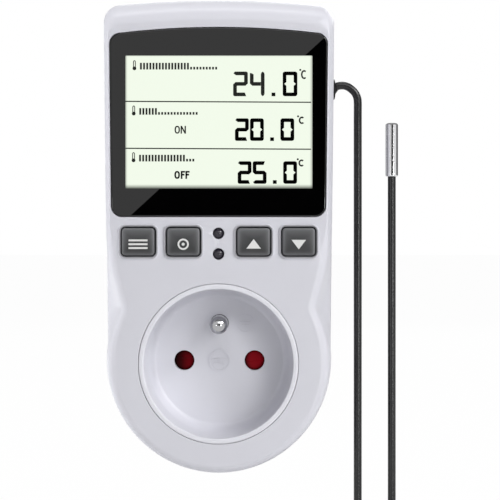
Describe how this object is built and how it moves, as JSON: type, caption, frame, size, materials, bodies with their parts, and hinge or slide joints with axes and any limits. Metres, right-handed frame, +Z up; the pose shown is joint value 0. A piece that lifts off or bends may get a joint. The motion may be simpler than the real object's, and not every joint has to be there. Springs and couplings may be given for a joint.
{
  "type": "plug in temperature controller",
  "caption": "Plug-in thermostat casing with display window, push buttons, shuttered pass-through socket, rear plug pins and a steel probe on a coiled cable.",
  "frame": {"origin": "centre of the plug's contact face, on the common axis of plug and socket", "axes": "+Z up along the casing's length, the front faces -Y, +Y goes into the wall outlet, +X to the right seen from the front"},
  "size_m": [0.0795, 0.0754, 0.1537],
  "materials": {
    "casing_plastic": "fine satin",
    "window_plastic": "polished",
    "lcd_glass": "polished",
    "white_plastic": "satin",
    "clear_plastic": "frosted",
    "silicone": "matt",
    "board": "solder mask",
    "dark_plastic": "satin",
    "button_rubber": "translucent satin",
    "lamp_lens": "tinted lens",
    "screw_steel": "zinc plated",
    "red_plastic": "satin",
    "contact_brass": "plain",
    "nickel": "nickel plated",
    "blue_plastic": "moulded",
    "yellow_plastic": "moulded",
    "can_sleeve": "sleeved can",
    "fuse_glass": "clear with steel caps",
    "resistor_paint": "painted",
    "brown_insulation": "vinyl",
    "blue_insulation": "vinyl",
    "cable_jacket": "satin vinyl",
    "tie_nylon": "nylon",
    "probe_steel": "polished"
  },
  "bodies": {
    "casing": {"front_cover": "casing_plastic", "back_cover": "casing_plastic", "display_window": "window_plastic", "lcd_glass": "lcd_glass", "backlight_holder": "white_plastic", "light_guide": "clear_plastic", "zebra_strips": "silicone", "display_board": "board", "controller_chip": "dark_plastic", "board_link": "dark_plastic", "tact_switches": "dark_plastic", "upper_lamp": "lamp_lens", "lower_lamp": "lamp_lens", "display_screws": "screw_steel", "socket_insert": "casing_plastic", "shutter_spring": "screw_steel", "contact_carrier": "dark_plastic", "carrier_screws": "screw_steel", "insert_screws": "screw_steel", "left_contact": "contact_brass", "right_contact": "contact_brass", "socket_earth_pin": "nickel", "earth_bar": "contact_brass", "earth_sleeve": "contact_brass", "upper_earth_clip": "nickel", "lower_earth_clip": "nickel", "left_plug_pin": "nickel", "right_plug_pin": "nickel", "pin_retainer": "white_plastic", "retainer_screws": "screw_steel", "power_board": "board", "power_screws": "screw_steel", "relay": "blue_plastic", "supply_capacitor": "yellow_plastic", "electrolytic_capacitors": "can_sleeve", "varistor": "blue_plastic", "fuse": "fuse_glass", "power_resistors": "resistor_paint", "live_wire": "brown_insulation", "load_wire": "brown_insulation", "neutral_wire": "blue_insulation", "feed_wire": "blue_insulation", "sensor_connector": "white_plastic", "sensor_lead": "cable_jacket", "case_screws": "screw_steel", "cable_grommet": "cable_jacket", "probe_cable": "cable_jacket", "probe_coil": "cable_jacket", "probe_cable_end": "cable_jacket", "coil_tie": "tie_nylon", "probe_sleeve": "probe_steel"},
    "mode_key": {"mode_button": "button_rubber", "mode_plunger": "white_plastic"},
    "set_key": {"set_button": "button_rubber", "set_plunger": "white_plastic"},
    "up_key": {"up_button": "button_rubber", "up_plunger": "white_plastic"},
    "down_key": {"down_button": "button_rubber", "down_plunger": "white_plastic"},
    "shutter_bar": {"shutter": "red_plastic"}
  },
  "joints": [
    {"name": "mode_press", "type": "slide", "parent": "casing", "child": "mode_key", "axis": [0, 1, 0], "range_m": [0, 0.0005], "stiffness_N_per_m": 800, "springref_m": -0.001},
    {"name": "set_press", "type": "slide", "parent": "casing", "child": "set_key", "axis": [0, 1, 0], "range_m": [0, 0.0005], "stiffness_N_per_m": 800, "springref_m": -0.001},
    {"name": "up_press", "type": "slide", "parent": "casing", "child": "up_key", "axis": [0, 1, 0], "range_m": [0, 0.0005], "stiffness_N_per_m": 800, "springref_m": -0.001},
    {"name": "down_press", "type": "slide", "parent": "casing", "child": "down_key", "axis": [0, 1, 0], "range_m": [0, 0.0005], "stiffness_N_per_m": 800, "springref_m": -0.001},
    {"name": "shutter_turn", "type": "hinge", "parent": "casing", "child": "shutter_bar", "pos_m": [0, -0.0371, 0], "axis": [0, 1, 0], "range_deg": [0, 40], "stiffness_Nm_per_rad": 0.002, "springref_deg": -28.65, "deforming": ["shutter_spring"]}
  ]
}
